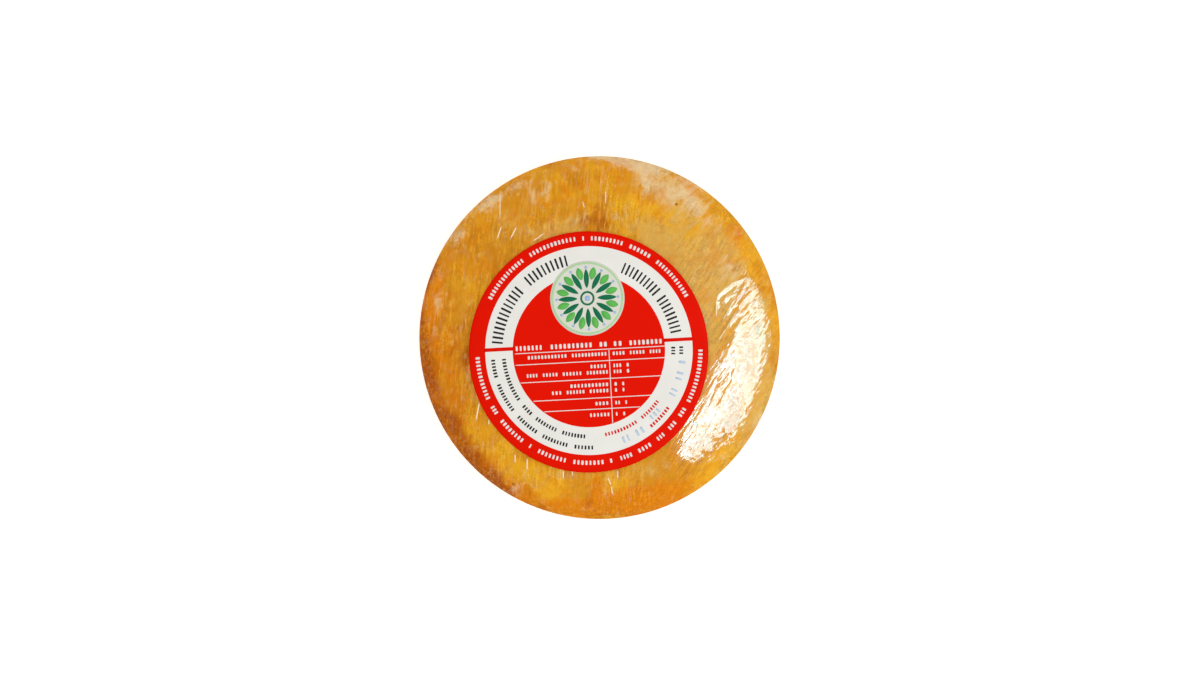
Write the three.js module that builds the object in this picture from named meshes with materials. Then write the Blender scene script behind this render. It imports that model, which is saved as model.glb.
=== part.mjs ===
// A low round wheel of smoked cheese, sealed in clear film that clings to it all over,
// with a round paper label stuck on top of the film.
// Millimetres, +Z up. The wheel stands on its flat base, and the origin is the middle of that base.
import * as THREE from "three";

// The wheel
const WHEEL_DIAMETER = 182;
const WHEEL_HEIGHT = 38;
const BELLY_HEIGHT = 17;
const FOOT_DIAMETER = 150;
const OVAL_SHARE = 0.0034;

// The dome is a superellipse: flat in the middle, then an ever steeper shoulder down to the belly.
const SHOULDER_POWER = 3.6;
const SHOULDER_ROUNDING = 2;
const UNDERCUT_POWER = 2.2;

// The label
const LABEL_DIAMETER = 120;
const LABEL_THICKNESS = 0.4;
const LABEL_GAP = 0.3;
const LABEL_X = -5.5;
const LABEL_Y = -7.2;

// How finely the surfaces are divided
const WHEEL_SIDES = 120;
const DOME_STEPS = 27;
const UNDERCUT_STEPS = 8;
const FINE_STEPS = 600;
const LABEL_SIDES = 80;
const LABEL_RINGS = 9;

const WHEEL_RADIUS = WHEEL_DIAMETER / 2;
const FOOT_RADIUS = FOOT_DIAMETER / 2;
const CROWN_RISE = WHEEL_HEIGHT - BELLY_HEIGHT;
const LABEL_RADIUS = LABEL_DIAMETER / 2;

// Soft hollows (depth below zero) and swellings (above zero) in the dome, each with its middle,
// its reach outwards and its height.
const DIMPLES = [
  { x: 0, y: 63, reach: 11, height: -0.8 },
  { x: -16, y: 66, reach: 10, height: 0.5 },
  { x: 33, y: 70, reach: 13, height: -0.7 },
  { x: 73, y: 36.5, reach: 12, height: 1.2 },
  { x: 65.5, y: -1, reach: 12, height: 1.0 },
  { x: 57.5, y: 4.5, reach: 9, height: -1.2 },
  { x: 64.5, y: -15.5, reach: 12, height: -0.6 },
  { x: 44.5, y: -31, reach: 12, height: 0.3 },
  { x: 40.5, y: -62, reach: 12, height: 1.2 },
  { x: 4, y: -76, reach: 10, height: -0.5 },
  { x: -22, y: -72, reach: 11, height: 0.4 },
  { x: -58, y: -46, reach: 13, height: -0.6 },
  { x: -72, y: -8, reach: 9, height: -0.5 },
  { x: -60, y: 42, reach: 14, height: -0.5 },
  { x: -38, y: 58, reach: 12, height: 0.4 },
];

// Long low waves across the dome: waves along x and y in each millimetre of turn, and height.
const WAVES = [
  { x: 0.11, y: 0.04, turn: 0.6, height: 0.16 },
  { x: -0.05, y: 0.13, turn: 2.1, height: 0.14 },
  { x: 0.17, y: -0.12, turn: 4.0, height: 0.08 },
];

// The relief fades out between these distances from the axis, so the outline stays round.
const RELIEF_FULL = WHEEL_RADIUS - 11;
const RELIEF_NONE = WHEEL_RADIUS - 2;

/** Height of the plain dome above the table, at a distance from the wheel's axis. */
function domeHeight(radius) {
  const share = Math.min(radius / WHEEL_RADIUS, 1);
  return BELLY_HEIGHT + CROWN_RISE * (1 - share ** SHOULDER_POWER) ** (1 / SHOULDER_ROUNDING);
}

/** Half width of the lower, undercut side at a height between the table and the belly. */
function undercutRadius(height) {
  const below = (BELLY_HEIGHT - height) / BELLY_HEIGHT;
  return FOOT_RADIUS + (WHEEL_RADIUS - FOOT_RADIUS) * Math.sqrt(1 - below ** UNDERCUT_POWER);
}

/** How far the dome stands above or below its plain shape at a point. */
function relief(x, y) {
  let height = 0;
  for (const d of DIMPLES) {
    const away = ((x - d.x) ** 2 + (y - d.y) ** 2) / d.reach ** 2;
    height += d.height * Math.exp(-away);
  }
  for (const w of WAVES) height += w.height * Math.sin(w.x * x + w.y * y + w.turn);
  const radius = Math.hypot(x, y);
  return height * (1 - THREE.MathUtils.smoothstep(radius, RELIEF_FULL, RELIEF_NONE));
}

/** The wheel's half outline from the middle of the base, round the belly, to the crown. */
function wheelProfile() {
  const undercut = [];
  const dome = [];
  for (let i = 0; i <= FINE_STEPS; i++) {
    const share = i / FINE_STEPS;
    const rise = BELLY_HEIGHT * (1 - Math.cos((share * Math.PI) / 2));
    undercut.push(new THREE.Vector2(undercutRadius(rise), rise));
    const radius = WHEEL_RADIUS * Math.cos((share * Math.PI) / 2);
    dome.push(new THREE.Vector2(radius, domeHeight(radius)));
  }
  const evenly = (points, steps) => new THREE.SplineCurve(points).getSpacedPoints(steps);
  return [
    new THREE.Vector2(0, 0),
    ...evenly(undercut, UNDERCUT_STEPS),
    ...evenly(dome, DOME_STEPS).slice(1, -1),
    new THREE.Vector2(0, WHEEL_HEIGHT),
  ];
}

/** The wrapped wheel: the outline turned about +Z, a little oval, with the relief on its dome. */
function wheelGeometry() {
  const geometry = new THREE.LatheGeometry(wheelProfile(), WHEEL_SIDES);
  geometry.rotateX(Math.PI / 2);
  const at = geometry.getAttribute("position");
  for (let i = 0; i < at.count; i++) {
    const [x, y, z] = [at.getX(i), at.getY(i), at.getZ(i)];
    const raised = z > BELLY_HEIGHT ? relief(x, y) : 0;
    at.setXYZ(i, x * (1 - OVAL_SHARE), y * (1 + OVAL_SHARE), z + raised);
  }
  return geometry;
}

/** The label: a thin disc laid over the dome, both of its faces split alike. */
function labelGeometry() {
  const outline = [];
  for (let i = 0; i <= LABEL_RINGS; i++) {
    outline.push(new THREE.Vector2((LABEL_RADIUS * i) / LABEL_RINGS, 0));
  }
  for (let i = LABEL_RINGS; i >= 0; i--) {
    outline.push(new THREE.Vector2((LABEL_RADIUS * i) / LABEL_RINGS, LABEL_THICKNESS));
  }
  const geometry = new THREE.LatheGeometry(outline, LABEL_SIDES);
  geometry.rotateX(Math.PI / 2);
  const at = geometry.getAttribute("position");
  for (let i = 0; i < at.count; i++) {
    const x = at.getX(i) + LABEL_X;
    const y = at.getY(i) + LABEL_Y;
    const film = domeHeight(Math.hypot(x, y)) + relief(x, y);
    at.setXYZ(i, x, y, film + LABEL_GAP + at.getZ(i));
  }
  return geometry;
}

function piece(name, geometry, colour, roughness) {
  geometry.computeVertexNormals();
  const material = new THREE.MeshStandardMaterial({ color: colour, roughness, metalness: 0 });
  const mesh = new THREE.Mesh(geometry, material);
  mesh.name = name;
  return mesh;
}

const cheese = new THREE.Group();
cheese.add(piece("cheese_in_film", wheelGeometry(), 0xcf8a25, 0.25));
cheese.add(piece("label", labelGeometry(), 0xe72108, 0.5));

export default cheese;
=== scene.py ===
"""A low round wheel of smoked cheese in tight clear film, with a round paper label on top.

Shapes are worked out in millimetres and become metres when a piece is finished.
"""

import math
import random

import bmesh
import bpy
import numpy as np
from mathutils import Matrix, Vector, noise


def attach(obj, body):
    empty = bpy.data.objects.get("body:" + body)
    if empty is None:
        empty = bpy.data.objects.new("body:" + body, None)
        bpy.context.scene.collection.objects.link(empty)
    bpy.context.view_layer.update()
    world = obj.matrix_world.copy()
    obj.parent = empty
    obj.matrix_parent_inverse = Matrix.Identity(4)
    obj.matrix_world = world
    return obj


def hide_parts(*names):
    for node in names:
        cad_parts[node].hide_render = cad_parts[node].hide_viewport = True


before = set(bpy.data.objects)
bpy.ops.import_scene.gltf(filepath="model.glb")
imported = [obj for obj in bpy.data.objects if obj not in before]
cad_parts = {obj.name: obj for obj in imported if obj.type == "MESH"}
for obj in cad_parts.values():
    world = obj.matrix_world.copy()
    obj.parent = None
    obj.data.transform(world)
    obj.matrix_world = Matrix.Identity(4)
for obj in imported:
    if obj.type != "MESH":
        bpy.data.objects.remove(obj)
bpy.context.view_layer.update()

MM = 0.001

# The wheel, as it is in the frame
WHEEL_RADIUS = 91
WHEEL_HEIGHT = 38
BELLY_HEIGHT = 17
FOOT_RADIUS = 75
OVAL_SHARE = 0.0034
SHOULDER_POWER = 3.6
SHOULDER_ROUNDING = 2
UNDERCUT_POWER = 2.2
CROWN_RISE = WHEEL_HEIGHT - BELLY_HEIGHT
RELIEF_FULL = WHEEL_RADIUS - 11
RELIEF_NONE = WHEEL_RADIUS - 2

# Soft hollows and swellings of the dome: middle x, middle y, reach and height
DIMPLES = [
    (0, 63, 11, -0.8),
    (-16, 66, 10, 0.5),
    (33, 70, 13, -0.7),
    (73, 36.5, 12, 1.2),
    (65.5, -1, 12, 1.0),
    (57.5, 4.5, 9, -1.2),
    (64.5, -15.5, 12, -0.6),
    (44.5, -31, 12, 0.3),
    (40.5, -62, 12, 1.2),
    (4, -76, 10, -0.5),
    (-22, -72, 11, 0.4),
    (-58, -46, 13, -0.6),
    (-72, -8, 9, -0.5),
    (-60, 42, 14, -0.5),
    (-38, 58, 12, 0.4),
]

# Long low waves of the dome: waves along x and y, turn and height
WAVES = [
    (0.11, 0.04, 0.6, 0.16),
    (-0.05, 0.13, 2.1, 0.14),
    (0.17, -0.12, 4.0, 0.08),
]

# The cheese lies this far inside the film, and closer by this much where the film is tightest
FILM_STAND_OFF = 0.45
SNUG_AT_BELLY = 0.39

# Lumps in the rind: size, height and seed; this share of them is pressed flat at the belly
RIND_LUMPS = [(7, 0.10, 1), (2.6, 0.06, 2)]
SMOOTHER_AT_BELLY = 0.8

# On the sides that the photo doesn't show, all tones but the pale one come and go at this size
UNSEEN_TONE = 0.35
UNSEEN_TONE_SIZE = 26

# The label
LABEL_X = -5.5
LABEL_Y = -7.2
LABEL_TURN = math.radians(3)
LABEL_RADIUS = 60
LABEL_UNDER = 0.08
LABEL_TOP = 0.32
PRINT_X = 0.2
PRINT_Y = 0.7
WHITE_RING_OUTER = 51.9
WHITE_RING_INNER = 38.1

# How finely the turned pieces are divided: steps round, on the base, up the side, over the dome
CHEESE_STEPS = (300, 14, 14, 52)
FILM_STEPS = (600, 16, 18, 104)
LABEL_SIDES = 220
OUTLINE_POINTS = 600

# Vertices closer than this are one
MERGE_DISTANCE = 1e-4


def smooth_step(low, high, value):
    """0 below low, 1 above high, and an even swing between them."""
    share = np.clip((value - low) / (high - low), 0, 1)
    return share * share * (3 - 2 * share)


def dome_height(radius):
    """Height of the plain dome above the table."""
    share = np.clip(radius / WHEEL_RADIUS, 0, 1)
    return BELLY_HEIGHT + CROWN_RISE * (1 - share**SHOULDER_POWER) ** (1 / SHOULDER_ROUNDING)


def undercut_radius(height):
    """Half width of the side below the belly."""
    below = (BELLY_HEIGHT - height) / BELLY_HEIGHT
    return FOOT_RADIUS + (WHEEL_RADIUS - FOOT_RADIUS) * np.sqrt(1 - below**UNDERCUT_POWER)


def relief(x, y):
    """How far the dome stands above or below its plain shape."""
    height = np.zeros_like(x)
    for middle_x, middle_y, reach, rise in DIMPLES:
        height += rise * np.exp(-((x - middle_x) ** 2 + (y - middle_y) ** 2) / reach**2)
    for along_x, along_y, turn, rise in WAVES:
        height += rise * np.sin(along_x * x + along_y * y + turn)
    return height * (1 - smooth_step(RELIEF_FULL, RELIEF_NONE, np.hypot(x, y)))


def film_height(x, y):
    """Height of the film's outside on the dome."""
    return dome_height(np.hypot(x, y)) + relief(x, y)


def evenly(points, count):
    """The ends of count equal steps along a line of points."""
    points = np.array(points)
    travelled = np.concatenate([[0], np.cumsum(np.hypot(*np.diff(points, axis=0).T))])
    stops = np.linspace(0, travelled[-1], count + 1)
    return np.column_stack([np.interp(stops, travelled, points[:, k]) for k in (0, 1)])


def wheel_outline(inset, base_steps, side_steps, dome_steps):
    """(radius, height) points from the middle of the base, round the belly, to the crown."""
    quarter = np.linspace(0, math.pi / 2, OUTLINE_POINTS)
    heights = BELLY_HEIGHT * (1 - np.cos(quarter))
    radii = WHEEL_RADIUS * np.cos(quarter)
    base = evenly([(0, 0), (FOOT_RADIUS, 0)], base_steps)
    side = evenly(np.column_stack([undercut_radius(heights), heights]), side_steps)
    dome = evenly(np.column_stack([radii, dome_height(radii)]), dome_steps)
    line = np.concatenate([base, side[1:], dome[1:]])
    along = np.gradient(line, axis=0)
    along /= np.hypot(*along.T)[:, None]
    inward = np.column_stack([-along[:, 1], along[:, 0]])
    line = line + inset * inward
    line[[0, -1], 0] = 0
    return line


def spin_line(body, points, sides):
    """Adds the surface that a line of (radius, height) points makes about the vertical axis."""
    verts = [body.verts.new((radius, 0, height)) for radius, height in points]
    edges = [body.edges.new(pair) for pair in zip(verts, verts[1:])]
    bmesh.ops.spin(
        body,
        geom=verts + edges,
        cent=(0, 0, 0),
        axis=(0, 0, 1),
        angle=2 * math.pi,
        steps=sides,
        use_merge=True,
    )


def turned(outline, sides):
    """A closed body with this outline, turned about the vertical axis."""
    body = bmesh.new()
    spin_line(body, outline, sides)
    bmesh.ops.remove_doubles(body, verts=body.verts, dist=MERGE_DISTANCE)
    bmesh.ops.recalc_face_normals(body, faces=body.faces)
    return body


def mesh_of(name, body):
    """The mesh of a body, which isn't needed any more after this."""
    mesh = bpy.data.meshes.new(name)
    body.to_mesh(mesh)
    body.free()
    return mesh


def vertex_rows(mesh, what):
    """What is asked of each vertex of a mesh, as rows of x, y and z."""
    rows = np.zeros(len(mesh.vertices) * 3)
    mesh.vertices.foreach_get(what, rows)
    return rows.reshape(-1, 3)


def places(mesh):
    """Where the vertices of a mesh are."""
    return vertex_rows(mesh, "co")


def outward(mesh):
    """Which way is outward at the vertices of a mesh."""
    return vertex_rows(mesh, "normal")


def move_to(mesh, rows):
    """Puts the vertices of a mesh at these rows of x, y and z."""
    mesh.vertices.foreach_set("co", rows.ravel())
    mesh.update()


def lumps(rows, size, seed):
    """Smooth noise from -1 to 1 at each vertex, with lumps of about this size."""
    shift = Vector((seed * 17.3, seed * 5.1, seed * 9.7))
    return np.array([noise.noise(Vector(row) / size + shift) for row in rows])


def follow_dome(mesh):
    """Makes a turned body a little oval and gives its dome the wheel's relief."""
    at = places(mesh)
    above = smooth_step(BELLY_HEIGHT, BELLY_HEIGHT + 1, at[:, 2])
    at[:, 2] += above * relief(at[:, 0], at[:, 1])
    at[:, 0] *= 1 - OVAL_SHARE
    at[:, 1] *= 1 + OVAL_SHARE
    move_to(mesh, at)


def finish_piece(mesh, slot, materials, *nodes):
    """Turns a mesh in millimetres into a smooth piece in metres that stands for these nodes."""
    for material in materials:
        mesh.materials.append(material)
    move_to(mesh, places(mesh) * MM)
    mesh.shade_smooth()
    piece = bpy.data.objects.new(mesh.name, mesh)
    bpy.context.scene.collection.objects.link(piece)
    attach(piece, "root")
    if nodes:
        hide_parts(*nodes)


class Recipe:
    """The node recipe of one material, with short names for the steps that it uses."""

    def __init__(self, name):
        self.material = bpy.data.materials.new(name)
        self.material.use_nodes = True
        self.tree = self.material.node_tree
        self.tree.nodes.clear()

    def node(self, kind, sockets=None, **settings):
        """Adds a node, with what goes into its sockets and what it is set to."""
        made = self.tree.nodes.new(kind)
        for key, value in settings.items():
            setattr(made, key, value)
        for key, value in (sockets or {}).items():
            self.feed(made.inputs[key], value)
        return made

    def feed(self, socket, value):
        """Links a socket to another node's output, or gives it a fixed value."""
        if isinstance(value, bpy.types.NodeSocket):
            self.tree.links.new(value, socket)
        else:
            socket.default_value = value

    def place(self):
        """Where on the wheel a point is, in metres."""
        return self.node("ShaderNodeTexCoord").outputs["Object"]

    def up(self, place):
        """The height of a place."""
        return self.node("ShaderNodeSeparateXYZ", {"Vector": place}).outputs["Z"]

    def attribute(self, name):
        """A value that is painted on the mesh."""
        return self.node("ShaderNodeAttribute", attribute_name=name).outputs["Fac"]

    def math(self, operation, first, second=0.0):
        """One step of arithmetic with two numbers."""
        made = self.node("ShaderNodeMath", operation=operation)
        self.feed(made.inputs[0], first)
        self.feed(made.inputs[1], second)
        return made.outputs[0]

    def vector(self, operation, first, second):
        """One step of arithmetic with two vectors that gives a vector."""
        made = self.node("ShaderNodeVectorMath", {0: first, 1: second}, operation=operation)
        return made.outputs["Vector"]

    def measure(self, operation, first, second=(0, 0, 0)):
        """A length, distance or product of vectors, as a number."""
        made = self.node("ShaderNodeVectorMath", {0: first, 1: second}, operation=operation)
        return made.outputs["Value"]

    def swing(self, value, low, high, start=0.0, end=1.0, kind="SMOOTHSTEP"):
        """The start where the value is below low, the end above high, and a swing between."""
        sockets = {
            "Value": value,
            "From Min": low,
            "From Max": high,
            "To Min": start,
            "To Max": end,
        }
        made = self.node("ShaderNodeMapRange", sockets, interpolation_type=kind)
        return made.outputs["Result"]

    def noise(self, vector, scale, detail=2.0, roughness=0.5, distortion=0.0):
        """Smooth noise of about 0 to 1, with this many lumps in a metre."""
        sockets = {
            "Vector": vector,
            "Scale": scale,
            "Detail": detail,
            "Roughness": roughness,
            "Distortion": distortion,
        }
        return self.node("ShaderNodeTexNoise", sockets).outputs["Fac"]

    def mix(self, share, first, second, blend="MIX"):
        """The first colour, with a share of the second over it."""
        made = self.node("ShaderNodeMix", data_type="RGBA", blend_type=blend)
        self.feed(made.inputs[0], share)
        self.feed(made.inputs[6], first)
        self.feed(made.inputs[7], second)
        return made.outputs[2]

    def between(self, share, first, second):
        """A number between two others."""
        return self.node("ShaderNodeMix", {0: share, 2: first, 3: second}).outputs[0]

    def layer(self, share, under, over):
        """One surface with a share of another over it."""
        return self.node("ShaderNodeMixShader", {0: share, 1: under, 2: over}).outputs[0]

    def grey(self, value):
        """The grey of this brightness."""
        sockets = {"Red": value, "Green": value, "Blue": value}
        return self.node("ShaderNodeCombineColor", sockets).outputs["Color"]

    def bump(self, height, depth):
        """The way a surface faces when it rises and falls by this height times this depth."""
        sockets = {"Height": height, "Distance": depth, "Strength": 1.0}
        return self.node("ShaderNodeBump", sockets).outputs["Normal"]

    def line(self, flat, start, end, width):
        """1 on the line between two points, fading across and towards both ends."""
        first = Vector((*start, 0)) * MM
        along = Vector((*end, 0)) * MM - first
        away = self.vector("SUBTRACT", flat, first)
        travelled = self.measure("DOT_PRODUCT", away, along / along.length_squared)
        share = self.swing(travelled, 0.0, 1.0, kind="LINEAR")
        foot = self.node("ShaderNodeVectorMath", {0: along, 3: share}, operation="SCALE")
        off = self.measure("DISTANCE", away, foot.outputs["Vector"])
        across = self.swing(off, 0.0, width * MM, 1.0, 0.0)
        ends = self.math("PINGPONG", share, 0.5)
        return self.math("MULTIPLY", across, self.swing(ends, 0.0, 0.25))

    def close(self, surface):
        """Ends the recipe with its surface, and gives its material."""
        self.node("ShaderNodeOutputMaterial", {"Surface": surface})
        return self.material


# The film is pulled up and down the picture: how far the pull leans over at the left and right
PULL_LEANS = (0.1, 0.6)


def pulled_noise(recipe, scale, along, *settings):
    """Noise drawn out the way that the film is pulled.

    Along is how fine the noise is along the pull, as a share of its fineness across it.
    """
    split = recipe.node("ShaderNodeSeparateXYZ", {"Vector": recipe.place()})
    x, y, z = (split.outputs[axis] for axis in "XYZ")
    levels = []
    for lean in PULL_LEANS:
        sockets = {
            "X": recipe.math("SUBTRACT", x, recipe.math("MULTIPLY", y, lean)),
            "Y": recipe.math("MULTIPLY", y, along),
            "Z": recipe.math("MULTIPLY", z, along),
        }
        place = recipe.node("ShaderNodeCombineXYZ", sockets).outputs["Vector"]
        levels.append(recipe.noise(place, scale, *settings))
    return recipe.between(recipe.swing(x, 0.01, 0.05), *levels)


# Rind

GOLDEN = (0.74, 0.305, 0.016, 1)
YELLOW = (0.90, 0.45, 0.018, 1)
ORANGE = (0.81, 0.245, 0.005, 1)
BROWN = (0.45, 0.088, 0.006, 1)
PALE = (0.86, 0.635, 0.345, 1)
TAN = (0.76, 0.45, 0.10, 1)
HONEY = (0.86, 0.45, 0.035, 1)
SPECK = (0.12, 0.05, 0.015, 1)

# Where each tone of the rind shows on the dome: middle x, middle y, reach across, reach along,
# turn in degrees, strength
RIND_TONES = {
    "yellow": [
        (20, 60, 20, 10, -12, 0.9),
        (42, 58, 16, 10, -35, 0.7),
        (66, 48, 12, 20, 38, 0.4),
        (80, 30, 8, 22, 15, 0.3),
        (-52, 24, 9, 14, 0, 0.1),
        (-51, -62, 6, 5, -45, 0.8),
        (-24, -74, 8, 7, 0, 1.0),
        (-36, -66, 8, 5, 0, 0.7),
        (8, -73, 8, 6, 0, 0.6),
        (64, -62, 22, 9, 44, 0.95),
        (81, -38, 7, 18, -26, 1.2),
        (-46, -54, 10, 6, -45, 0.4),
        (-22, 80, 10, 5, 10, 0.4),
    ],
    "orange": [
        (-12, -85, 14, 5, 0, 1.2),
        (-1.5, -76, 3, 9, 0, 0.9),
        (16, -82, 12, 7, 10, 1.1),
        (33, -79, 15, 7, 24, 0.8),
        (-42, -80, 12, 6, -28, 1.1),
        (-62, -64, 12, 8, -45, 0.8),
        (-28, 68, 22, 7, 22, 0.25),
        (-78, 34, 6, 18, -20, 0.35),
        (-56, 58, 12, 5, 45, 0.2),
        (-75, -18, 10, 34, 5, 0.5),
        # Partly the rind's own colour, partly painted shade: this band deepens the left rim.
        (-87, -4, 5, 40, 0, 1.4),
        (12, 80, 16, 5, 0, 0.3),
        (-8, 72, 8, 8, 0, 0.2),
        (54, 52, 5, 5, 0, 0.3),
        (68, 51, 5, 8, 40, 0.45),
    ],
    "brown": [
        # Painted shade: these two patches darken the hollow at the top of the dome.
        (-2, 58, 10, 9, 0, 0.6),
        (2, 68, 7, 9, 0, 0.25),
        (-70, -24, 14, 30, 8, 0.3),
        # Partly the rind's own colour, partly painted shade: this band darkens the left rim.
        (-85, -24, 6, 26, 12, 0.9),
        (-78, -46, 7, 14, 30, 1.0),
        (-74, -43, 4, 5, 30, 0.6),
        (-62, -64, 15, 7, -45, 1.1),
        (-48, -76, 10, 5, -32, 0.65),
        # Partly the rind's own colour, partly painted shade: these two bands darken the left rim.
        (-90, 8, 3, 24, 0, 0.6),
        (-85, 32, 3.5, 16, -20, 0.85),
        # Painted shadow: this patch darkens the rind beside the lifted left edge of the label.
        (-66, -8, 4, 8, 0, 0.5),
        (-50, 36, 9, 11, 30, 0.45),
        (10, -67, 3, 6, 0, 0.4),
        (-6, -80, 3, 5, 0, 0.5),
        (-30, -86, 10, 3, -15, 0.5),
        (8, -88, 12, 3, 0, 0.4),
        (52, -65, 8, 6, 40, 0.25),
        (-68, 9, 5, 12, 0, 0.25),
    ],
    "pale": [
        (34, 72, 10, 8, -20, 0.75),
        (42.8, 72.4, 3, 3, 0, 0.6),
        (22, 78, 7, 5, 0, 0.7),
        # Painted reflection: this band and the next stand for the film's bright edge along the top
        # rim; the rind and the film over it are painted paler there.
        (20, 85, 12, 3, -12, 0.85),
        (46, 77.5, 12, 2.5, -31, 0.8),
        (54, 60, 8, 5, -45, 0.5),
        (47, 68, 6, 5, -30, 0.45),
        (60, 30, 10, 12, 20, 0.3),
        (-55, 68, 6, 4, 45, 0.6),
        (-45, 74, 8, 3, 30, 0.5),
        (-34, 71, 3, 8, 0, 0.5),
        (-27, 74, 3, 7, 0, 0.5),
        (-67, 60, 5, 3, 45, 0.55),
        (-72, 52, 5, 4, 45, 0.6),
        (-67, 42, 4, 4, 0, 0.4),
        (-79, 32, 3, 5, -20, 0.5),
        (-83, 18, 2.5, 4, 0, 0.4),
        (-82, 4, 3, 7, 0, 0.35),
        (-13, 85, 8, 3, 0, 0.4),
        # Painted reflection: the film's bright edge along the top rim, painted paler on the rind
        # and the film over it.
        (12, 89.5, 22, 2.5, -8, 1.6),
        (-42, -75, 4, 3, 0, 0.6),
        (-52, -78, 6, 1.5, -35, 0.4),
        (-60, -54, 3, 3, 0, 0.3),
        (34, -64, 9, 4, 20, 0.3),
        # Painted reflection: these two bands stand for the film's bright edge along the right rim,
        # painted paler on the rind and the film over it.
        (88, -8, 3, 30, 0, 0.2),
        (80, -42, 3, 16, -28, 0.55),
        (69, -56, 4, 8, -45, 0.35),
    ],
    "tan": [
        (52, 26, 14, 20, 30, 0.9),
        (58, 42, 14, 14, 30, 0.8),
        (57, 2, 7, 16, 0, 0.9),
        (82, -8, 6, 34, 0, 0.8),
        (76, -46, 7, 16, -30, 0.9),
        (28, 50, 12, 7, -30, 1.0),
        (34, 72, 18, 10, -20, 0.55),
        (-20, 55, 14, 6, 10, 0.6),
        (-44, 58, 16, 8, 45, 0.4),
        (-60, -30, 6, 14, 20, 0.4),
        (24, -66, 14, 5, 10, 0.4),
        (-14, -69, 16, 3, 0, 0.5),
    ],
}

# How each tone comes in, one over the other: its colour, the levels where it starts and is full,
# and how far the patchy and the fine noise fray its edges
TONE_EDGES = [
    ("yellow", YELLOW, 0.1, 0.6, 1.0, 0.15),
    ("tan", TAN, 0.1, 0.65, 1.3, 0.25),
    ("orange", ORANGE, 0.1, 0.65, 1.0, -0.2),
    ("brown", BROWN, 0.1, 0.9, 1.0, -0.25),
    ("pale", PALE, 0.18, 1.0, 1.7, 1.0),
]

# Dark specks in the rind: x, y, radius and strength; they fade out over this width
SPECK_FADE = 0.6
SPECKS = [
    (38.4, 66.8, 0.45, 0.8),
    (59.0, 24.3, 0.3, 0.5),
    (-68.0, 26.5, 0.35, 0.55),
    (-43.3, -73.4, 0.5, 0.5),
    (79.5, 3.0, 0.3, 0.5),
]


def patch_strength(x, y, patches):
    """How strongly a tone shows at each point, from 0 to about 1."""
    total = np.zeros_like(x)
    for middle_x, middle_y, across, along, degrees, strength in patches:
        turn = math.radians(degrees)
        u = (x - middle_x) * math.cos(turn) + (y - middle_y) * math.sin(turn)
        v = (y - middle_y) * math.cos(turn) - (x - middle_x) * math.sin(turn)
        total += strength * np.exp(-((u / across) ** 2) - (v / along) ** 2)
    return total


def paint(mesh, name, values):
    """Gives each vertex of a mesh a value that its material reads."""
    layer = mesh.attributes.new(name, "FLOAT", "POINT")
    layer.data.foreach_set("value", np.ascontiguousarray(values, dtype=np.float32))


def with_tones(recipe, colour, patches, fine):
    """Lays the tones that are painted on the rind over a colour, with ragged edges."""
    for name, tone, low, high, blotchy, frayed in TONE_EDGES:
        level = recipe.attribute(name)
        level = recipe.math("ADD", level, recipe.math("MULTIPLY", patches, blotchy))
        level = recipe.math("ADD", level, recipe.math("MULTIPLY", fine, frayed))
        colour = recipe.mix(recipe.swing(level, low, high, 0.0, 0.9), colour, tone)
    return colour


def with_specks(recipe, colour, place):
    """Adds the dark specks to a colour."""
    for x, y, radius, strength in SPECKS:
        away = recipe.measure("DISTANCE", place, Vector((x, y, film_height(x, y))) * MM)
        share = recipe.swing(away, radius * MM, (radius + SPECK_FADE) * MM, strength, 0.0)
        colour = recipe.mix(share, colour, SPECK)
    return colour


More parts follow.
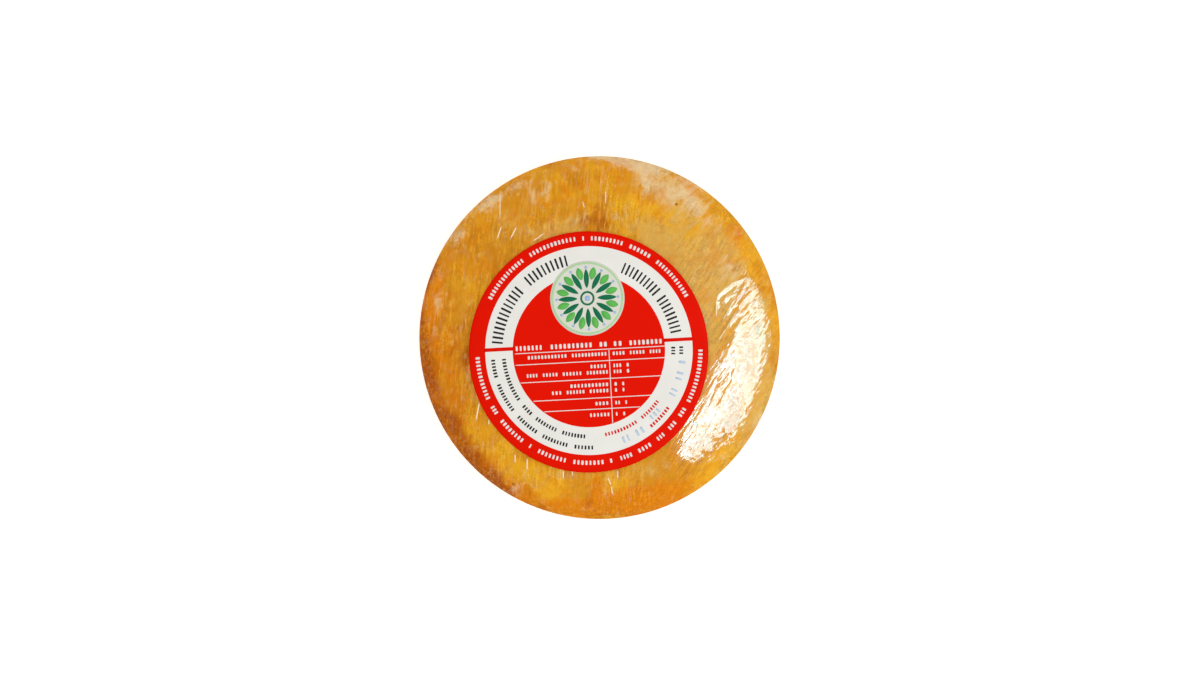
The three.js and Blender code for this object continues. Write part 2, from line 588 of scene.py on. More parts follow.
def rind_material():
    """Smoked rind: golden, with tones that fade into each other over ragged edges, and painted
    shade on its sides.
    """
    recipe = Recipe("smoked_rind")
    place = recipe.place()
    clouds = recipe.noise(place, 50, 2, 0.5, 0.4)
    glow = recipe.noise(place, 85, 2, 0.5, 0.6)
    patches = recipe.math("SUBTRACT", pulled_noise(recipe, 120, 0.6, 2, 0.5, 0.8), 0.5)
    mottle = pulled_noise(recipe, 240, 0.7, 2, 0.5, 1.2)
    up = recipe.up(place)
    upright = recipe.vector("MULTIPLY", place, (1, 1, 0.35))
    side_fibres = recipe.noise(upright, 750, 2, 0.6)
    top_fibres = pulled_noise(recipe, 900, 0.12, 2, 0.6, 0.6)
    on_top = recipe.swing(up, 0.020, 0.031)
    fibres = recipe.between(on_top, side_fibres, top_fibres)
    grain = recipe.noise(place, 1000, 3, 0.7)
    fine = recipe.math("ADD", mottle, recipe.math("MULTIPLY", fibres, 0.5))
    fine = recipe.math("SUBTRACT", fine, 0.75)
    colour = recipe.mix(recipe.swing(clouds, 0.4, 0.7, 0.0, 0.7), GOLDEN, YELLOW)
    colour = with_tones(recipe, colour, patches, fine)
    colour = recipe.mix(recipe.swing(glow, 0.5, 0.35, 0.0, 0.3), colour, ORANGE)
    colour = recipe.mix(recipe.swing(mottle, 0.5, 0.32, 0.0, 0.2), colour, ORANGE)
    colour = recipe.mix(recipe.swing(mottle, 0.5, 0.7, 0.0, 0.2), colour, HONEY)
    colour = recipe.mix(recipe.swing(fibres, 0.5, 0.7, 0.0, 0.3), colour, HONEY)
    # Painted shade: the sides up to 20 mm high are darkened to 0.86 of their colour, fading out by
    # 28 mm.
    painted_side_shade = recipe.swing(up, 0.020, 0.028, 0.86, 1.0)
    shade = recipe.math("MULTIPLY", painted_side_shade, recipe.swing(mottle, 0.3, 0.7, 0.97, 1.02))
    for level in (fibres, grain):
        shade = recipe.math("MULTIPLY", shade, recipe.swing(level, 0.33, 0.67, 0.87, 1.10))
    # The fine texture and the painted side shade show fully in some patches and at a quarter
    # strength in others.
    texture_and_shade_share = recipe.swing(recipe.noise(place, 70, 2, 0.5), 0.38, 0.62, 0.25, 1.0)
    colour = recipe.mix(texture_and_shade_share, colour, recipe.mix(1.0, colour, recipe.grey(shade), "MULTIPLY"))
    colour = with_specks(recipe, colour, place)
    height = recipe.math("ADD", mottle, recipe.math("MULTIPLY", grain, 0.25))
    sockets = {
        "Base Color": colour,
        "Roughness": recipe.swing(mottle, 0.3, 0.7, 0.62, 0.45),
        "Specular IOR Level": 0.015,
        "Subsurface Weight": 0.12,
        "Subsurface Radius": (1.0, 0.45, 0.15),
        "Subsurface Scale": 0.003,
        "Normal": recipe.bump(height, 0.0003),
    }
    surface = recipe.node("ShaderNodeBsdfPrincipled", sockets)
    return recipe.close(surface.outputs["BSDF"])


def make_cheese():
    """The cheese inside the film: a shallow dome with soft lumps in its rind."""
    sides, *steps = CHEESE_STEPS
    mesh = mesh_of("cheese", turned(wheel_outline(FILM_STAND_OFF, *steps), sides))
    follow_dome(mesh)
    at = places(mesh)
    x, y, z = at.T
    near_belly = smooth_step(BELLY_HEIGHT - 9, BELLY_HEIGHT, z)
    near_belly *= smooth_step(BELLY_HEIGHT + 16, BELLY_HEIGHT + 6, z)
    rough = sum(height * lumps(at, size, seed) for size, height, seed in RIND_LUMPS)
    rough *= 1 - SMOOTHER_AT_BELLY * near_belly
    move_to(mesh, at + outward(mesh) * (rough + SNUG_AT_BELLY * near_belly)[:, None])
    seen = smooth_step(6, BELLY_HEIGHT + 2, z)
    for name, patches in RIND_TONES.items():
        level = seen * patch_strength(x, y, patches)
        if name != "pale":
            hidden = UNSEEN_TONE * (1 + lumps(at, UNSEEN_TONE_SIZE, 3 + len(name)))
            level += (1 - seen) * hidden
        paint(mesh, name, level)
    finish_piece(mesh, "cheese_in_film", [rind_material()], "cheese_in_film")


# Film

# Creases that stand up from the film: the points that they run through, width and height
CREASES = [
    ([(-48.8, 56.3), (-51.3, 48.8)], 0.9, 0.30),
    ([(-41.2, 55.8), (-44.8, 48.8)], 0.9, 0.30),
    ([(-49.8, 73.9), (-49.8, 58.0)], 1.3, 0.20),
    ([(-33.7, 47.8), (-27.2, 52.3)], 0.9, 0.25),
    ([(-8.5, 68.0), (-7.5, 64.5)], 0.9, 0.22),
    ([(3.0, 74.0), (3.0, 66.4)], 0.9, 0.22),
    ([(-59.9, -31.7), (-61.9, -42.3)], 0.9, 0.32),
    ([(-55.3, -40.7), (-55.3, -43.8)], 0.9, 0.25),
    ([(-42.2, -57.8), (-42.2, -62.9)], 0.9, 0.28),
    ([(-36.2, -59.9), (-36.2, -66.9)], 0.9, 0.28),
    ([(-18.1, -65.9), (-18.1, -70.9)], 0.9, 0.28),
    ([(-13.6, -65.9), (-13.6, -69.4)], 0.9, 0.25),
    ([(4.0, -69.4), (5.8, -74.0), (6.5, -78.5)], 0.9, 0.28),
    ([(9.1, -65.9), (9.1, -70.9)], 0.9, 0.25),
    ([(58.3, 9.6), (58.3, 20.1), (64.4, 26.2), (69.9, 28.7), (74.9, 29.7)], 0.9, 0.30),
    ([(61.0, 8.0), (66.5, 17.0)], 0.9, 0.22),
    ([(62.5, 3.0), (69.0, 14.0)], 0.9, 0.22),
    ([(60.5, 16.0), (64.5, 22.0)], 0.9, 0.18),
    ([(59.0, -2.0), (63.5, 5.0)], 0.9, 0.22),
]

# Each crease dies out over this share of its length at both ends
CREASE_TAPER = 0.35
CREASE_TAPER_POWER = 0.6

# Painted highlight: a bright line along each crease stands for its glint, the brighter the higher
# the crease is
CREASE_GLINT_WIDTH = 0.5
CREASE_GLINT_STRENGTH = 3.5

# Fine creases strewn over the dome, between these distances from the axis
TENSION_CREASES = 150
TENSION_ZONE = (56, 86)

# Below the belly the film is gathered: this many pleats, with hollows this deep between them
PLEATS = 64
PLEAT_DEPTH = 0.32

# The colour of hazy film and of the painted highlights on it, and how hazy it is where the rind
# under it is pale
HAZE_AND_GLINT_COLOUR = (1.0, 0.84, 0.52, 1)
HAZE_OVER_PALE = 0.45

# The share of light that the film mirrors head on, and what is added at a grazing angle
HEAD_ON_MIRROR = 0.1
GRAZING_MIRROR = 0.05

# The share of the gloss that is blurred, and how rough it is
SOFT_GLOSS_SHARE = 0.3
SOFT_GLOSS_ROUGHNESS = 0.22


def crease_height(x, y, points, width, height):
    """Height of one crease at each point: a soft ridge that dies out at both ends."""
    rise = np.zeros_like(x)
    lengths = [math.dist(a, b) for a, b in zip(points, points[1:])]
    whole = sum(lengths)
    passed = 0
    for (ax, ay), (bx, by), length in zip(points, points[1:], lengths):
        share = np.clip(((x - ax) * (bx - ax) + (y - ay) * (by - ay)) / length**2, 0, 1)
        away = np.hypot(x - ax - share * (bx - ax), y - ay - share * (by - ay))
        travelled = passed + share * length
        taper = np.minimum(travelled, whole - travelled) / (CREASE_TAPER * whole)
        taper = np.clip(taper, 0, 1) ** CREASE_TAPER_POWER
        ridge = height * np.exp(-((away / width) ** 2)) * taper
        rise = np.maximum(rise, ridge)
        passed += length
    return rise


def tension_creases():
    """Fine short creases along the way that the film is pulled, strewn over the shoulder."""
    draw = random.Random(11)
    left_lean, right_lean = PULL_LEANS
    for _ in range(TENSION_CREASES):
        angle = draw.uniform(0, 2 * math.pi)
        radius = draw.uniform(*TENSION_ZONE)
        x = radius * math.cos(angle)
        y = radius * math.sin(angle)
        lean = left_lean + (right_lean - left_lean) * float(smooth_step(0, 60, x))
        lean += draw.gauss(0, 0.12)
        half = draw.uniform(2.5, 8)
        ends = [(x - lean * half, y - half), (x + lean * half, y + half)]
        yield ends, draw.uniform(0.8, 1.2), draw.uniform(0.015, 0.05)


def pleats(x, y, z):
    """How tightly the film is gathered below the belly, and how high its pleats stand there."""
    draw = random.Random(5)
    angle = np.arctan2(y, x)
    radius = np.hypot(x, y)
    ridges = np.zeros_like(x)
    for k in range(PLEATS):
        middle = 2 * math.pi * (k + draw.uniform(-0.35, 0.35)) / PLEATS
        curl = draw.uniform(-0.004, 0.004)
        width = draw.uniform(0.9, 1.8)
        start = draw.uniform(0.5, 0.95) * BELLY_HEIGHT
        off = np.angle(np.exp(1j * (angle - middle - curl * (FOOT_RADIUS - radius))))
        ridge = np.exp(-((off * radius / width) ** 2)) * smooth_step(start, 0, z)
        ridges = np.maximum(ridges, ridge)
    gathered = smooth_step(BELLY_HEIGHT, 2, z) * smooth_step(4, 16, radius)
    return gathered, ridges


def film_clear(recipe, scuffs, normal):
    """See-through film that mirrors a little, the less where it is scuffed."""
    lobes = []
    for roughness in (recipe.swing(scuffs, 0.35, 0.6, 0.08, 0.012), SOFT_GLOSS_ROUGHNESS):
        sockets = {"Color": (1, 1, 1, 1), "Roughness": roughness, "Normal": normal}
        lobes.append(recipe.node("ShaderNodeBsdfAnisotropic", sockets).outputs[0])
    gloss = recipe.layer(SOFT_GLOSS_SHARE, *lobes)
    clear = recipe.node("ShaderNodeBsdfTransparent", {"Color": (1, 1, 1, 1)}).outputs[0]
    weight = recipe.node("ShaderNodeLayerWeight", {"Blend": 0.5, "Normal": normal})
    grazing = recipe.math("POWER", weight.outputs["Facing"], 5.0)
    mirrored = recipe.math("MULTIPLY", grazing, GRAZING_MIRROR)
    mirrored = recipe.math("ADD", mirrored, HEAD_ON_MIRROR)
    dulled = recipe.swing(scuffs, 0.35, 0.65, 0.62, 1.17)
    return recipe.layer(recipe.math("MULTIPLY", mirrored, dulled), clear, gloss)


def film_haze_and_glints(recipe, place, flat, streaks, crinkles):
    """How hazy the film is over pale rind and in folds, with painted highlights in strewn streaks
    and along its creases.
    """
    uneven = recipe.math("SUBTRACT", crinkles, 0.5)
    over_pale = recipe.math("ADD", recipe.attribute("haze_and_highlights"), uneven)
    in_folds = recipe.math("ADD", recipe.attribute("folds"), uneven)
    haze_and_highlights = recipe.swing(over_pale, 0.0, 0.8, 0.0, 0.25)
    haze_and_highlights = recipe.math("MAXIMUM", haze_and_highlights, recipe.swing(in_folds, 0.45, 1.2, 0.0, 0.22))
    # Painted highlights: pale strewn streaks stand for the glints of the film's fine wrinkles.
    strewn = recipe.swing(recipe.noise(place, 45, 1, 0.5), 0.46, 0.6, 0.0, 0.12)
    strewn = recipe.math("MULTIPLY", recipe.swing(streaks, 0.6, 0.72), strewn)
    haze_and_highlights = recipe.math("MAXIMUM", haze_and_highlights, strewn)
    on_dome = recipe.swing(recipe.up(place), 0.018, 0.021)
    # Painted highlight: a bright line along each crease on the dome.
    for points, _, rise in CREASES:
        for start, end in zip(points, points[1:]):
            white = recipe.line(flat, start, end, CREASE_GLINT_WIDTH)
            white = recipe.math("MULTIPLY", white, CREASE_GLINT_STRENGTH * rise)
            haze_and_highlights = recipe.math("MAXIMUM", haze_and_highlights, recipe.math("MULTIPLY", white, on_dome))
    return haze_and_highlights


def film_material():
    """Clear film: see-through, with a bright gloss broken by fine streaks, a little haze, and
    painted highlights along its creases.
    """
    recipe = Recipe("clear_film")
    place = recipe.place()
    flat = recipe.vector("MULTIPLY", place, (1, 1, 0))
    away = recipe.measure("LENGTH", flat)
    streaks = pulled_noise(recipe, 700, 0.12, 1, 0.4)
    ripples = pulled_noise(recipe, 260, 0.4, 1, 0.4)
    crinkles = pulled_noise(recipe, 500, 0.5, 1, 0.4)
    rippled = recipe.swing(away, 0.062, 0.080, 0.3, 1.0)
    crinkled = recipe.swing(away, 0.064, 0.085, 0.7, 2.8)
    height = recipe.math("MULTIPLY", streaks, 0.15)
    for level, amount in ((ripples, rippled), (crinkles, crinkled)):
        height = recipe.math("ADD", height, recipe.math("MULTIPLY", level, amount))
    normal = recipe.bump(height, 0.00015)
    film = film_clear(recipe, recipe.noise(place, 400, 3, 0.7), normal)
    haze_and_glint_surface = recipe.node("ShaderNodeBsdfDiffuse", {"Color": HAZE_AND_GLINT_COLOUR, "Normal": normal}).outputs[0]
    haze_and_highlights = film_haze_and_glints(recipe, place, flat, streaks, crinkles)
    return recipe.close(recipe.layer(haze_and_highlights, film, haze_and_glint_surface))


def make_film():
    """The film: it clings to the cheese, creases on top and gathers in pleats below."""
    sides, *steps = FILM_STEPS
    mesh = mesh_of("film", turned(wheel_outline(0, *steps), sides))
    follow_dome(mesh)
    at = places(mesh)
    x, y, z = at.T
    rise = np.zeros_like(x)
    for points, width, height in [*CREASES, *tension_creases()]:
        rise = np.maximum(rise, crease_height(x, y, points, width, height))
    from_label = np.hypot(x - LABEL_X, y - LABEL_Y)
    on_dome = smooth_step(BELLY_HEIGHT + 2, BELLY_HEIGHT + 8, z)
    rise *= smooth_step(LABEL_RADIUS - 4, LABEL_RADIUS, from_label) * on_dome
    gathered, ridges = pleats(x, y, z)
    at += outward(mesh) * (rise - PLEAT_DEPTH * gathered * (1 - ridges))[:, None]
    at[:, 2] = np.maximum(at[:, 2], 0)
    move_to(mesh, at)
    paint(mesh, "haze_and_highlights", on_dome * HAZE_OVER_PALE * patch_strength(x, y, RIND_TONES["pale"]))
    paint(mesh, "folds", gathered * ridges * smooth_step(10, 40, np.hypot(x, y)))
    finish_piece(mesh, "cheese_in_film", [film_material()], "cheese_in_film")


# Label

RED_INK = (0.76, 0.007, 0.0005, 1)
WHITE_PAPER = (0.81, 0.795, 0.74, 1)
CREAM = (0.69, 0.69, 0.60, 1)
BLACK_INK = (0.022, 0.022, 0.026, 1)
STAMP_BLUE = (0.52, 0.64, 0.78, 1)
SKY_BLUE = (0.36, 0.52, 0.76, 1)
PALE_GREEN = (0.42, 0.68, 0.34, 1)
MID_GREEN = (0.13, 0.50, 0.10, 1)
DARK_GREEN = (0.012, 0.17, 0.075, 1)

# How finely the paper is divided across its red middle, its white ring and its red band
PAPER_STEPS = (20, 8, 6)

# The paper is loose outside this radius: its left edge stands off, and its rim waves a little
LOOSE_FROM = 50
LOOSE_DEGREES = 182
LOOSE_SPREAD = 9
LOOSE_LIFT = 1.5
EDGE_WAVES = 5
EDGE_WAVE_HEIGHT = 0.15


def label_place(x, y):
    """Where a point of the print lies on the wheel, seen from above."""
    x = x + PRINT_X
    y = y + PRINT_Y
    turned_x = x * math.cos(LABEL_TURN) - y * math.sin(LABEL_TURN)
    turned_y = x * math.sin(LABEL_TURN) + y * math.cos(LABEL_TURN)
    return LABEL_X + turned_x * (1 - OVAL_SHARE), LABEL_Y + turned_y * (1 + OVAL_SHARE)


def label_height(x, y):
    """Height of the paper, which lies on the film and lifts a little at its left edge."""
    away = np.hypot(x - LABEL_X, y - LABEL_Y)
    angle = np.degrees(np.arctan2(y - LABEL_Y, x - LABEL_X)) % 360
    lift = LOOSE_LIFT * np.exp(-(((angle - LOOSE_DEGREES) / LOOSE_SPREAD) ** 2))
    lift += EDGE_WAVE_HEIGHT * np.sin(np.radians(EDGE_WAVES * angle + 40)) ** 2
    return film_height(x, y) + smooth_step(LOOSE_FROM, LABEL_RADIUS, away) * lift


def paper_material(name, colour, roughness):
    """Coated printing paper: even colour with the faint tooth of its fibres."""
    recipe = Recipe(name)
    tooth = recipe.noise(recipe.place(), 2400, 3, 0.6)
    cloud = recipe.noise(recipe.place(), 90, 2, 0.5)
    cloudy = recipe.swing(cloud, 0.3, 0.7, 0.96, 1.0)
    shade = recipe.math("MULTIPLY", cloudy, recipe.swing(tooth, 0.3, 0.7, 0.97, 1.0))
    sockets = {
        "Base Color": recipe.mix(1.0, colour, recipe.grey(shade), "MULTIPLY"),
        "Roughness": recipe.swing(tooth, 0.3, 0.7, roughness, roughness + 0.1),
        "Specular IOR Level": 0.015,
        "Normal": recipe.bump(tooth, 0.00002),
    }
    surface = recipe.node("ShaderNodeBsdfPrincipled", sockets)
    return recipe.close(surface.outputs["BSDF"])


def make_paper(red, white):
    """The paper disc: red middle, white ring, red band, and a white back and edge."""
    radii = [0]
    edges = (0, WHITE_RING_INNER, WHITE_RING_OUTER, LABEL_RADIUS)
    for inner, outer, steps in zip(edges, edges[1:], PAPER_STEPS):
        radii += list(np.linspace(inner, outer, steps))[1:]
    outline = [(radius, 0) for radius in radii]
    outline += [(radius, 1) for radius in reversed(radii)]
    body = turned(outline, LABEL_SIDES)
    for face in body.faces:
        middle = face.calc_center_median()
        away = math.hypot(middle.x, middle.y)
        printed = middle.z > 0.9 and not WHITE_RING_INNER < away < WHITE_RING_OUTER
        face.material_index = 0 if printed else 1
    for vert in body.verts:
        x, y, top = vert.co
        share = float(smooth_step(WHITE_RING_OUTER, LABEL_RADIUS, math.hypot(x, y)))
        wheel_x, wheel_y = label_place(x - share * PRINT_X, y - share * PRINT_Y)
        rise = LABEL_TOP if top > 0.5 else LABEL_UNDER
        vert.co = (wheel_x, wheel_y, float(label_height(wheel_x, wheel_y)) + rise)
    finish_piece(mesh_of("label_paper", body), "label", [red, white], "label")


# The print stands this high and is sunk this deep; long shapes are divided to follow the dome
INK_THICKNESS = 0.035
INK_SUNK = 0.06
INK_STEP = 2

BLOCK_SIDES = 16
BLOCK_ROUNDING = 0.35

# Height and pitch of each kind of print
BAND_PRINT = (2.2, 1.9)
HEAD_PRINT = (2.4, 2.1)
TABLE_PRINT = (1.8, 1.7)
RED_PRINT = (1.8, 1.6)
SMALL_PRINT = (2.0, 1.6)
TALL_PRINT = (5.5, 2.3)
STAMPED_PRINT = (3.4, 2.4)
SMALL_STAMPED_PRINT = (2.6, 2.4)

# The share of each block's room that it fills, in print and in tall or stamped strokes
PRINT_FILL = 0.55
THIN_STROKES = 0.4


def thicken(ink, faces, level):
    """Gives flat print shapes their other side, so that each is a thin closed plate."""
    lifted = bmesh.ops.extrude_face_region(ink, geom=faces)
    top = [made for made in lifted["geom"] if isinstance(made, bmesh.types.BMVert)]
    bmesh.ops.translate(ink, verts=top, vec=(0, 0, level))


def block(ink, x, y, width, height, degrees=0.0, level=1):
    """A rounded block of ink, in millimetres of the print."""
    corner = BLOCK_ROUNDING * min(width, height)
    made = bmesh.ops.create_circle(
        ink,
        segments=BLOCK_SIDES,
        radius=corner,
        cap_ends=True,
        matrix=Matrix.Rotation(math.pi / BLOCK_SIDES, 4, "Z"),
    )
    for vert in made["verts"]:
        vert.co.x += math.copysign(width / 2 - corner, vert.co.x)
        vert.co.y += math.copysign(height / 2 - corner, vert.co.y)
    place = Matrix.Translation((x, y, 0)) @ Matrix.Rotation(math.radians(degrees), 4, "Z")
    bmesh.ops.transform(ink, matrix=place, verts=made["verts"])
    thicken(ink, list(made["verts"][0].link_faces), level)


def stripe(ink, start, end, width, level=1):
    """A straight stripe of ink between two points of the print."""
    (ax, ay), (bx, by) = start, end
    length = math.dist(start, end)
    steps = max(1, round(length / INK_STEP))
    place = Matrix.Translation(((ax + bx) / 2, (ay + by) / 2, 0))
    place @= Matrix.Rotation(math.atan2(by - ay, bx - ax), 4, "Z")
    place @= Matrix.Diagonal((length, width, 1, 1))
    made = bmesh.ops.create_grid(ink, x_segments=steps, y_segments=1, size=0.5, matrix=place)
    faces = {face for vert in made["verts"] for face in vert.link_faces}
    thicken(ink, list(faces), level)


def word_widths(length, pitch, fill, draw):
    """Middles and widths of the blocks that fill a word of this length."""
    count = max(1, round(length / pitch))
    step = length / count
    return [((k + 0.5) * step, step * fill * draw.uniform(0.85, 1.15)) for k in range(count)]


def words_on_arc(ink, radius, height, pitch, spans, fill=PRINT_FILL):
    """Words of blocks along an arc; each span is a word's first and last angle in degrees."""
    draw = random.Random(int(radius * 10))
    for first, last in spans:
        length = math.radians(last - first) * radius
        for middle, width in word_widths(length, pitch, fill, draw):
            angle = math.radians(first) + middle / radius
            x = radius * math.cos(angle)
            y = radius * math.sin(angle)
            block(ink, x, y, width, height, math.degrees(angle) - 90)


def words_in_row(ink, y, height, pitch, spans):
    """Words of blocks in a straight row; each span is a word's first and last x."""
    draw = random.Random(int(y * 10) + 400)
    for first, last in spans:
        for middle, width in word_widths(last - first, pitch, PRINT_FILL, draw):
            block(ink, first + middle, y, width, height)


def drape(name, ink, material):
    """Lays print shapes on the paper and finishes them as one piece."""
    for vert in ink.verts:
        x, y = label_place(vert.co.x, vert.co.y)
        level = round(vert.co.z)
        rise = level * INK_THICKNESS if level else -INK_SUNK
        vert.co = (x, y, float(label_height(x, y)) + LABEL_TOP + rise)
    bmesh.ops.recalc_face_normals(ink, faces=ink.faces)
    finish_piece(mesh_of(name, ink), "label", [material])


# Words round the red band, above and below: their first and last angles
BAND_PRINT_RADIUS = 55.8
BAND_WORDS = [
    [(25.5, 50), (53.5, 66), (69, 86.5), (89.2, 90.8), (93.5, 119.5), (123, 150)],
    [
        (180, 203),
        (206.5, 211.5),
        (215, 231),
        (234.5, 236),
        (239.5, 255.5),
        (258.5, 275),
        (277.5, 279.5),
        (283, 290),
        (293, 301),
        (304.5, 309.5),
        (312.5, 318),
        (321, 326.5),
        (329.5, 358),
    ],
]

# The table on the red middle: the y of each row, and the first and last x of its words or line
TABLE_HEAD = (2.8, [(-37, -23), (-19.5, 2), (5, 9.5), (12, 17), (20, 37)])
TABLE_ROWS = [
    (-2.0, [(-31, -11), (-9, 9), (11.5, 18), (20, 28), (30, 36)]),
    (-8.0, [(0, 8.5), (11.5, 16), (18, 20)]),
    (-11.0, [(-32, -26), (-24, -16), (-14, -4), (-2, 9.2), (11.5, 16), (18, 20)]),
    (-17.2, [(-10.5, 9), (11.5, 13.5), (15.5, 17)]),
    (-20.2, [(-20, -14.5), (-12.5, -3), (-1, 9), (11.5, 13.5), (15.5, 17)]),
    (-26.5, [(1.5, 8.7), (11.5, 14.5), (16.5, 18)]),
    (-32.1, [(-1.5, 9), (11.5, 13), (15, 17)]),
]
TABLE_LINES = [
    (-5.4, -37, 38),
    (-14.3, -35, 36),
    (-23.7, -29, 30),
    (-29.2, -24, 24),
    (0.3, -37, 38),
]
TABLE_LINE_WIDTH = 0.4


def print_white(material):
    """White print on the red parts: the words round the band, and the table in the middle."""
    ink = bmesh.new()
    for spans in BAND_WORDS:
        words_on_arc(ink, BAND_PRINT_RADIUS, *BAND_PRINT, spans)
    head_y, head_words = TABLE_HEAD
    words_in_row(ink, head_y, *HEAD_PRINT, head_words)
    for y, spans in TABLE_ROWS:
        words_in_row(ink, y, *TABLE_PRINT, spans)
    for y, first, last in TABLE_LINES:
        stripe(ink, (first, y), (last, y), TABLE_LINE_WIDTH)
    stripe(ink, (10, -0.2), (10, -36.5), TABLE_LINE_WIDTH)
    drape("print_white", ink, material)


def print_red(material):
    """Red print on the white ring: the two bars that divide it, and a few words."""
    ink = bmesh.new()
    stripe(ink, (-WHITE_RING_OUTER - 0.4, 2.9), (-WHITE_RING_INNER + 0.4, 2.9), 1.8)
    stripe(ink, (WHITE_RING_INNER - 0.4, 3.15), (WHITE_RING_OUTER + 0.4, 3.15), 1.7)
    words_on_arc(ink, 48.7, *RED_PRINT, [(306, 322)])
    words_on_arc(ink, 42.5, *RED_PRINT, [(277.5, 301.5), (305, 321.5)])
    drape("print_red", ink, material)


def print_black(material):
    """Black print on the white ring: tall strokes above, and small words below."""
    ink = bmesh.new()
    for radius, spans in ((44.5, [(8, 34), (36.5, 65.5)]), (46.0, [(100, 130), (135, 173.5)])):
        words_on_arc(ink, radius, *TALL_PRINT, spans, THIN_STROKES)
    for radius, spans in (
        (48.2, [(182, 193.5), (197, 215.5), (219.5, 234.5), (238, 254.5), (258, 270)]),
        (42.7, [(182, 212.5), (216.5, 225), (228.5, 245), (248.5, 265)]),
        (46.2, [(354.5, 360)]),
        (42.2, [(354, 360)]),
    ):
        words_on_arc(ink, radius, *SMALL_PRINT, spans)
    drape("print_black", ink, material)


def print_stamp(material):
    """Plain pale blue blocks, stamped over the white ring."""
    ink = bmesh.new()
    words_on_arc(ink, 47.5, *STAMPED_PRINT, [(287, 293), (296, 303)], THIN_STROKES)
    words_on_arc(ink, 45.6, *SMALL_STAMPED_PRINT, [(309, 318)], THIN_STROKES)
    words_on_arc(ink, 47.0, *STAMPED_PRINT, [(328, 334), (338, 345), (348, 352)], THIN_STROKES)
    drape("print_stamp", ink, material)


# The round emblem: its middle and radius in the print, and how many leaves it has and how pointed
EMBLEM_X = 0.6
EMBLEM_Y = 26.0
EMBLEM_RADIUS = 18.6
EMBLEM_LEAVES = 12
LEAF_SIDES = 24
LEAF_POINT = 0.6


def corners_of(faces):
    """The vertices of these faces, each of them once."""
    return list({vert for face in faces for vert in face.verts})


def disc(ink, inner, outer, level, sides=72):
    """A round plate of ink about the emblem's middle, or a ring if inner isn't 0."""
    rings = max(1, round((outer - inner) / INK_STEP))
    before = set(ink.faces)
    spin_line(ink, [(radius, 0) for radius in np.linspace(inner, outer, rings + 1)], sides)
    faces = [face for face in ink.faces if face not in before]
    bmesh.ops.remove_doubles(ink, verts=corners_of(faces), dist=MERGE_DISTANCE)
    faces = [face for face in ink.faces if face not in before]
    bmesh.ops.translate(ink, verts=corners_of(faces), vec=(EMBLEM_X, EMBLEM_Y, 0))
    thicken(ink, faces, level)


def leaf(ink, radius, length, width, degrees, level):
    """A pointed leaf that stands out from the emblem's middle, its middle at this radius."""
    made = bmesh.ops.create_circle(ink, segments=LEAF_SIDES, radius=1, cap_ends=True)
    for vert in made["verts"]:
        x, y, _ = vert.co
        vert.co = (x * length / 2, y * abs(y) ** LEAF_POINT * width / 2, 0)
    place = Matrix.Translation((EMBLEM_X, EMBLEM_Y, 0))
    place @= Matrix.Rotation(math.radians(degrees), 4, "Z")
    place @= Matrix.Translation((radius, 0, 0))
    bmesh.ops.transform(ink, matrix=place, verts=made["verts"])
    thicken(ink, list(made["verts"][0].link_faces), level)


def round_dots(ink, radius, size, count, level):
    """Dots in a circle about the emblem's middle."""
    for k in range(count):
        angle = 360 * k / count
        x = EMBLEM_X + radius * math.cos(math.radians(angle))
        y = EMBLEM_Y + radius * math.sin(math.radians(angle))
        block(ink, x, y, size, size, angle, level)


def make_emblem(cream, pale_green, mid_green, dark_green, blue):
    """A plain round emblem: a rosette of leaves in a green ring on a cream disc."""
    fill = bmesh.new()
    disc(fill, 0, EMBLEM_RADIUS, 1)
    drape("emblem_disc", fill, cream)
    rim = bmesh.new()
    disc(rim, EMBLEM_RADIUS - 1.5, EMBLEM_RADIUS - 0.7, 2)
    drape("emblem_rim", rim, pale_green)
    light = bmesh.new()
    dark = bmesh.new()
    for k in range(EMBLEM_LEAVES):
        angle = 360 * k / EMBLEM_LEAVES
        leaf(light, 12.6, 6.4, 3.4, angle + 180 / EMBLEM_LEAVES, 2)
        leaf(dark, 9.8, 9.6, 2.6, angle, 2)
    drape("emblem_light_leaves", light, mid_green)
    disc(dark, 2.6, 3.6, 2, 36)
    drape("emblem_dark_leaves", dark, dark_green)
    dots = bmesh.new()
    round_dots(dots, 15.4, 1.3, EMBLEM_LEAVES, 2)
    round_dots(dots, 0, 2.6, 1, 2)
    drape("emblem_dots", dots, blue)


def make_label():
    """The paper, its print and its emblem."""
    red = paper_material("red_print", RED_INK, 0.42)
    white = paper_material("white_paper", WHITE_PAPER, 0.5)
    make_paper(red, white)
    print_white(white)
    print_red(red)
    print_black(paper_material("black_print", BLACK_INK, 0.4))
    print_stamp(paper_material("stamp_blue", STAMP_BLUE, 0.6))
    make_emblem(
        paper_material("cream_print", CREAM, 0.5),
        paper_material("pale_green_print", PALE_GREEN, 0.45),
        paper_material("mid_green_print", MID_GREEN, 0.45),
        paper_material("dark_green_print", DARK_GREEN, 0.45),
        paper_material("blue_print", SKY_BLUE, 0.45),
    )


# Floor, light and camera

FLOOR_SIZE = 6.0
FLOOR_COLOUR = (0.97, 0.97, 0.97, 1)
FLOOR_GLOW = 0.4
FILL_STRENGTH = 0.95

# The soft box beside the wheel: its bearing, distance, width, height, middle and lean sideways
BOX_DEGREES = -17
BOX_DISTANCE = 0.655
BOX_WIDTH = 0.72
BOX_HEIGHT = 1.17
BOX_MIDDLE = 0.83
BOX_LEAN = 5.4
BOX_POWER = 2.4

# The front that the film mirrors: its corners, its glow low and high, and where that swings
FRONT_CORNERS = [(-0.30, -0.50), (0.37, -0.61), (0.37, 0.52), (-0.32, 0.68)]
FRONT_GLOW = (7.3, 11.0)
FRONT_GLOW_ENDS = (0.0, 0.33)
FRONT_COLOUR = (0.42, 0.88, 1.0, 1)

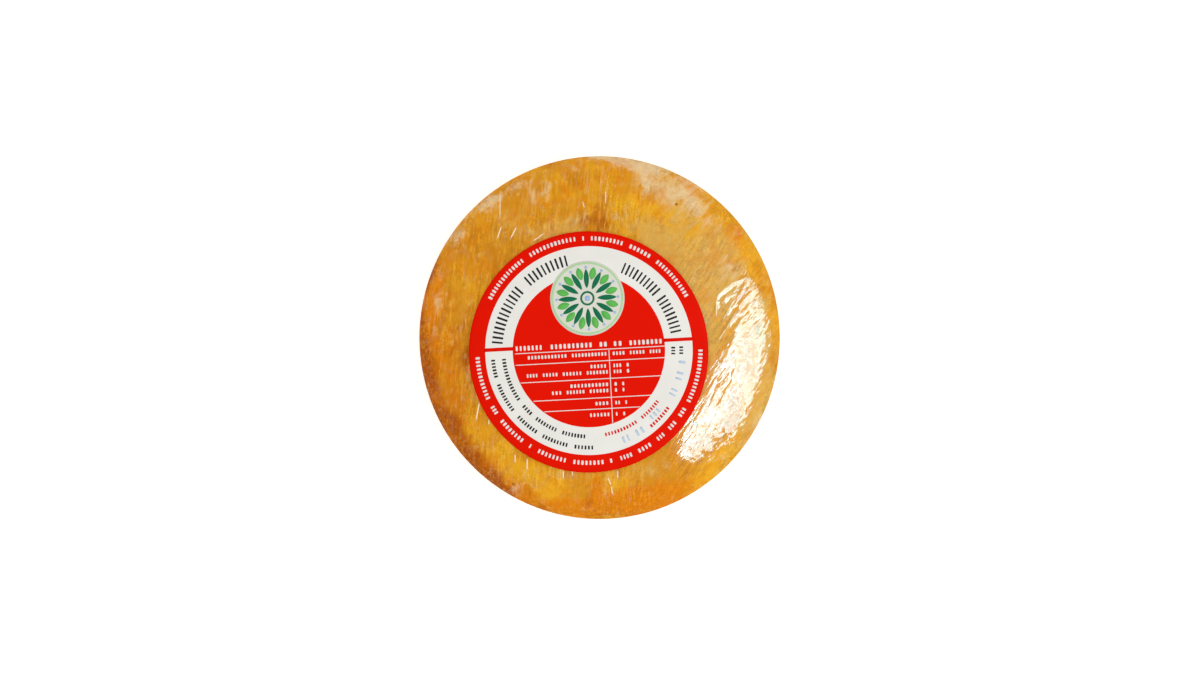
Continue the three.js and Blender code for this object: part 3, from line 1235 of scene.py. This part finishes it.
# The photo in pixels: its size and the wheel's middle, and how wide a pixel is at the belly
PHOTO_WIDTH = 1200
PHOTO_HEIGHT = 675
WHEEL_MIDDLE_PX = (599.6, 337.6)
MM_PER_PIXEL = 0.503
SENSOR_WIDTH = 36
LENS = 135


def make_floor():
    """The plain pale ground, which glows a little so that it stays white."""
    body = bmesh.new()
    bmesh.ops.create_grid(body, x_segments=1, y_segments=1, size=FLOOR_SIZE / 2)
    mesh = mesh_of("floor", body)
    recipe = Recipe("floor_paint")
    cloud = recipe.noise(recipe.place(), 3, 2, 0.5)
    shade = recipe.grey(recipe.swing(cloud, 0.3, 0.7, 0.985, 1.0))
    sockets = {
        "Base Color": recipe.mix(1.0, FLOOR_COLOUR, shade, "MULTIPLY"),
        "Roughness": 0.9,
        "Specular IOR Level": 0.1,
        "Emission Color": (1, 1, 1, 1),
        "Emission Strength": FLOOR_GLOW,
    }
    surface = recipe.node("ShaderNodeBsdfPrincipled", sockets)
    mesh.materials.append(recipe.close(surface.outputs["BSDF"]))
    floor = bpy.data.objects.new("floor", mesh)
    bpy.context.scene.collection.objects.link(floor)
    floor.visible_glossy = False


def face_the_wheel(thing):
    """Stands a lamp or panel beside the wheel, turned towards it."""
    bearing = math.radians(BOX_DEGREES)
    towards = Vector((math.cos(bearing), math.sin(bearing), 0))
    facing = (-towards).to_track_quat("-Z", "Y").to_matrix()
    lean = Matrix.Rotation(math.radians(BOX_LEAN), 3, towards)
    thing.location = towards * BOX_DISTANCE + Vector((0, 0, BOX_MIDDLE))
    thing.rotation_euler = (lean @ facing).to_euler()
    bpy.context.scene.collection.objects.link(thing)


def make_soft_box():
    """The lamp that lights the wheel a little from the right."""
    lamp = bpy.data.lights.new("soft_box", "AREA")
    lamp.shape = "RECTANGLE"
    lamp.size = BOX_WIDTH
    lamp.size_y = BOX_HEIGHT
    lamp.energy = BOX_POWER
    box = bpy.data.objects.new("soft_box", lamp)
    box.visible_glossy = False
    face_the_wheel(box)


def make_panel():
    """The soft box's bright front, which shows only as the gloss on the film."""
    body = bmesh.new()
    body.faces.new([body.verts.new((x, y, 0)) for x, y in FRONT_CORNERS])
    mesh = mesh_of("soft_box_front", body)
    recipe = Recipe("soft_box_glow")
    up = recipe.node("ShaderNodeSeparateXYZ", {"Vector": recipe.place()}).outputs["Y"]
    strength = recipe.swing(up, *FRONT_GLOW_ENDS, *FRONT_GLOW)
    glow = recipe.node("ShaderNodeEmission", {"Color": FRONT_COLOUR, "Strength": strength})
    mesh.materials.append(recipe.close(glow.outputs[0]))
    panel = bpy.data.objects.new("soft_box_front", mesh)
    panel.visible_camera = False
    panel.visible_diffuse = False
    panel.visible_shadow = False
    face_the_wheel(panel)


def make_light():
    """Even white fill from all round, and the soft box that makes the bright patch on the film."""
    world = bpy.data.worlds.new("studio")
    world.use_nodes = True
    sky = world.node_tree.nodes["Background"]
    sky.inputs["Color"].default_value = (1, 1, 1, 1)
    sky.inputs["Strength"].default_value = FILL_STRENGTH
    world.cycles_visibility.glossy = False
    bpy.context.scene.world = world
    make_soft_box()
    make_panel()


def make_camera():
    """Straight above the wheel, with the top of the picture towards +Y."""
    lens = bpy.data.cameras.new("camera")
    lens.lens = LENS
    lens.sensor_width = SENSOR_WIDTH
    lens.clip_end = 20
    camera = bpy.data.objects.new("camera", lens)
    right = PHOTO_WIDTH / 2 - WHEEL_MIDDLE_PX[0]
    up = WHEEL_MIDDLE_PX[1] - PHOTO_HEIGHT / 2
    distance = PHOTO_WIDTH * MM_PER_PIXEL * LENS / SENSOR_WIDTH
    place = Vector((right * MM_PER_PIXEL, up * MM_PER_PIXEL, distance + BELLY_HEIGHT))
    camera.location = place * MM
    bpy.context.scene.collection.objects.link(camera)
    bpy.context.scene.camera = camera


make_cheese()
make_film()
make_label()
make_floor()
make_light()
make_camera()
bpy.context.scene.view_settings.view_transform = "Standard"
